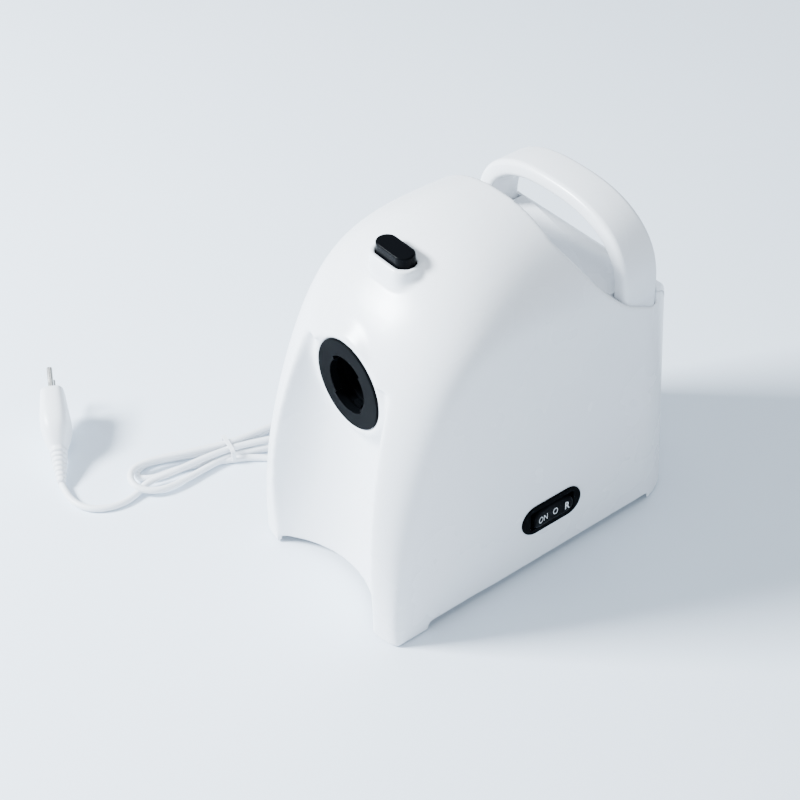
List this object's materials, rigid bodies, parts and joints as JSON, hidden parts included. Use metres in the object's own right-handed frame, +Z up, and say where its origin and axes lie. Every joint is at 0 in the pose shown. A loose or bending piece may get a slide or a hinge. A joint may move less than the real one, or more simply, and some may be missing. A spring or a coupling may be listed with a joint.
{
  "type": "electric meat grinder drive unit",
  "caption": "Tabletop food grinder motor unit: arched white housing, front drive socket with release button, carry handle, side rocker switch, mains cord and plug",
  "frame": {"origin": "centre of the machine's footprint on the surface it stands on, without its cord", "axes": "+Z up, -Y out of the drive socket at the front, +X to the switch side"},
  "size_m": [0.3976, 0.4758, 0.2767],
  "materials": {
    "white_shell": "satin-gloss moulded ABS",
    "grey_plastic": "moulded",
    "rubber_black": "matt",
    "zinc_steel": "zinc plated",
    "black_plastic": "satin",
    "bronze": "sintered",
    "lamination_steel": "stacked sheets",
    "copper_wire": "enamelled wire",
    "cast_alloy": "die cast",
    "phenolic": "pressed board",
    "brass_sheet": "bent sheet",
    "carbon": "pressed carbon",
    "board_green": "solder resist",
    "cord_white": "soft PVC",
    "tie_white": "paper wire tie",
    "nickel_brass": "nickel plated",
    "shaft_steel": "ground",
    "commutator_copper": "turned",
    "nylon_gear": "natural nylon",
    "gloss_black": "polished"
  },
  "bodies": {
    "machine_body": {"housing": "white_shell", "rear_cover": "white_shell", "carry_handle": "white_shell", "bottom_cover": "grey_plastic", "rubber_feet": "rubber_black", "foot_screws": "zinc_steel", "vent_panel": "white_shell", "socket_collar": "black_plastic", "output_bush": "bronze", "gearbox_housing": "grey_plastic", "gearbox_cover": "grey_plastic", "gearbox_screws": "zinc_steel", "gearbox_post": "grey_plastic", "stator_core": "lamination_steel", "field_coils": "copper_wire", "motor_bearings": "zinc_steel", "front_bracket": "cast_alloy", "rear_bracket": "cast_alloy", "brush_yoke": "phenolic", "brush_holders": "brass_sheet", "carbon_brushes": "carbon", "motor_cradle": "grey_plastic", "spring_seat": "zinc_steel", "latch_spring": "zinc_steel", "switch_bezel": "black_plastic", "circuit_board": "board_green", "terminal_block": "grey_plastic", "cord_gland": "cord_white", "cord_lead": "cord_white", "cord_hank": "cord_white", "hank_tie": "tie_white", "cord_tail": "cord_white", "plug_body": "cord_white", "plug_pins": "nickel_brass"},
    "rotor": {"motor_shaft": "shaft_steel", "motor_pinion": "shaft_steel", "cooling_fan": "black_plastic", "armature_core": "lamination_steel", "armature_windings": "copper_wire", "commutator": "commutator_copper"},
    "layshaft": {"layshaft_pinion": "shaft_steel", "layshaft_gear": "nylon_gear"},
    "output_drive": {"drive_socket": "shaft_steel", "output_gear": "shaft_steel"},
    "button": {"release_button": "gloss_black", "latch_slide": "black_plastic"},
    "rocker": {"switch_rocker": "gloss_black"}
  },
  "joints": [
    {"name": "motor_spin", "type": "hinge", "parent": "machine_body", "child": "rotor", "pos_m": [0, 0.04, 0.1063], "axis": [0, 1, 0], "continuous": true},
    {"name": "mid_spin", "type": "hinge", "parent": "machine_body", "child": "layshaft", "pos_m": [0, -0.04, 0.1369], "axis": [0, 1, 0], "continuous": true},
    {"name": "output_spin", "type": "hinge", "parent": "machine_body", "child": "output_drive", "pos_m": [0, -0.04, 0.1765], "axis": [0, 1, 0], "continuous": true},
    {"name": "button_press", "type": "slide", "parent": "machine_body", "child": "button", "axis": [0, 0, -1], "range_m": [0, 0.004], "stiffness_N_per_m": 900, "springref_m": -0.003, "deforming": ["latch_spring"]},
    {"name": "switch_rock", "type": "hinge", "parent": "machine_body", "child": "rocker", "pos_m": [0.0775, 0.0049, 0.0499], "axis": [0, 0, 1], "range_deg": [-9, 9]}
  ],
  "couplings": [
    {"joint": "mid_spin", "follows": "motor_spin", "ratio": -0.14286},
    {"joint": "output_spin", "follows": "motor_spin", "ratio": 0.028571}
  ]
}
